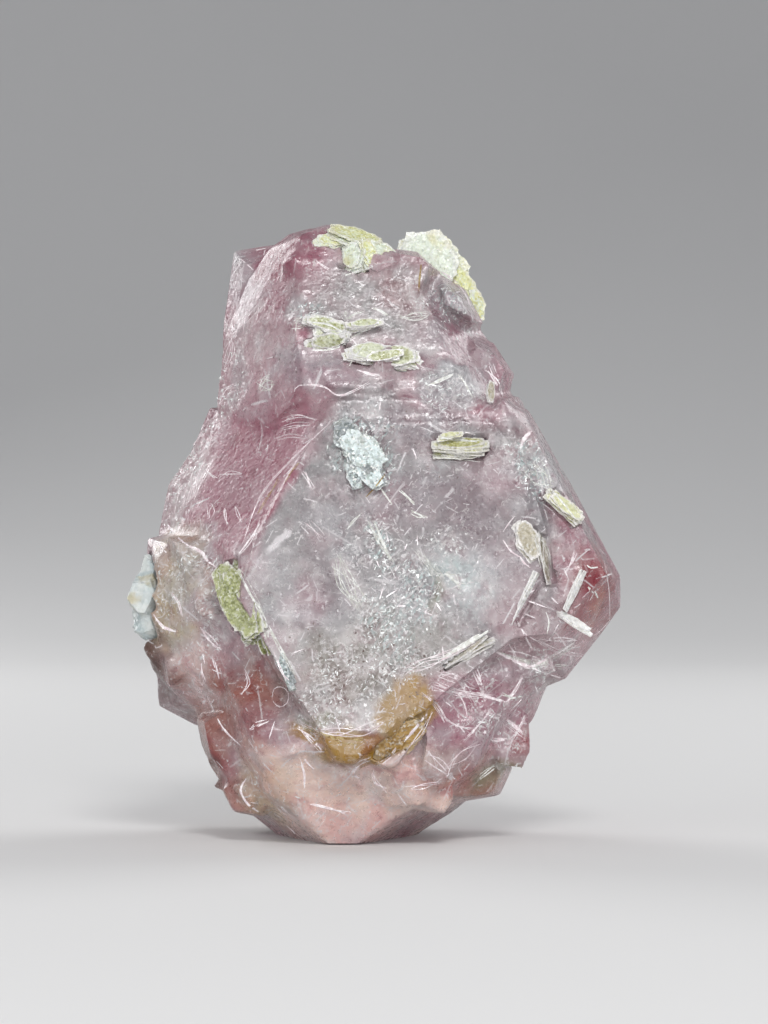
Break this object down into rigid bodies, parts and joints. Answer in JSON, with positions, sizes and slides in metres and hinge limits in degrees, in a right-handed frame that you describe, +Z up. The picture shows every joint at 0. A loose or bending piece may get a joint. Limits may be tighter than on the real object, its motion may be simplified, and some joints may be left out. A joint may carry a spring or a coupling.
{
  "type": "apatite crystal cluster",
  "caption": "Upright hand specimen of intergrown pink apatite crystals with mica books and a little albite, standing on its flat broken base.",
  "frame": {"origin": "middle of the specimen's box, at the height of its flat broken base", "axes": "+Z up from the base to the upper crystal's tip, the side with the large flat crystal end facing -Y, +X to the right of someone looking at that side"},
  "size_m": [0.0384, 0.0278, 0.048],
  "materials": {
    "apatite": "translucent pink crystal, vitreous faces, cloudy with veils and cracks inside",
    "albite": "pale bluish white, finely granular crystal",
    "mica_pale": "pale mint and yellow mica sheets with pearly faces",
    "mica_green": "olive to yellow-green mica sheets with white, pearly edges",
    "mica_silver": "silvery white mica, pearly and striated",
    "mica_tan": "tan to ochre mica with pale edges"
  },
  "bodies": {
    "root": {"apatite_crystals": "apatite", "albite_crystals": "albite", "mica_book_top_right": "mica_pale", "mica_cluster_top": "mica_pale", "mica_bent_leaf": "mica_green", "mica_book_upper": "mica_green", "mica_book_right": "mica_green", "mica_wedge_left": "mica_green", "mica_blade_left": "mica_silver", "mica_wedge_right": "mica_green", "mica_book_lower_right": "mica_tan", "mica_blade_lower": "mica_tan", "mica_needle_centre": "mica_silver", "mica_needle_red": "mica_silver", "mica_blade_red": "mica_silver", "mica_sheet_silver": "mica_silver", "mica_book_ochre": "mica_tan", "mica_flake_brown": "mica_tan", "mica_book_back": "mica_green", "mica_book_back_low": "mica_green"}
  },
  "joints": []
}
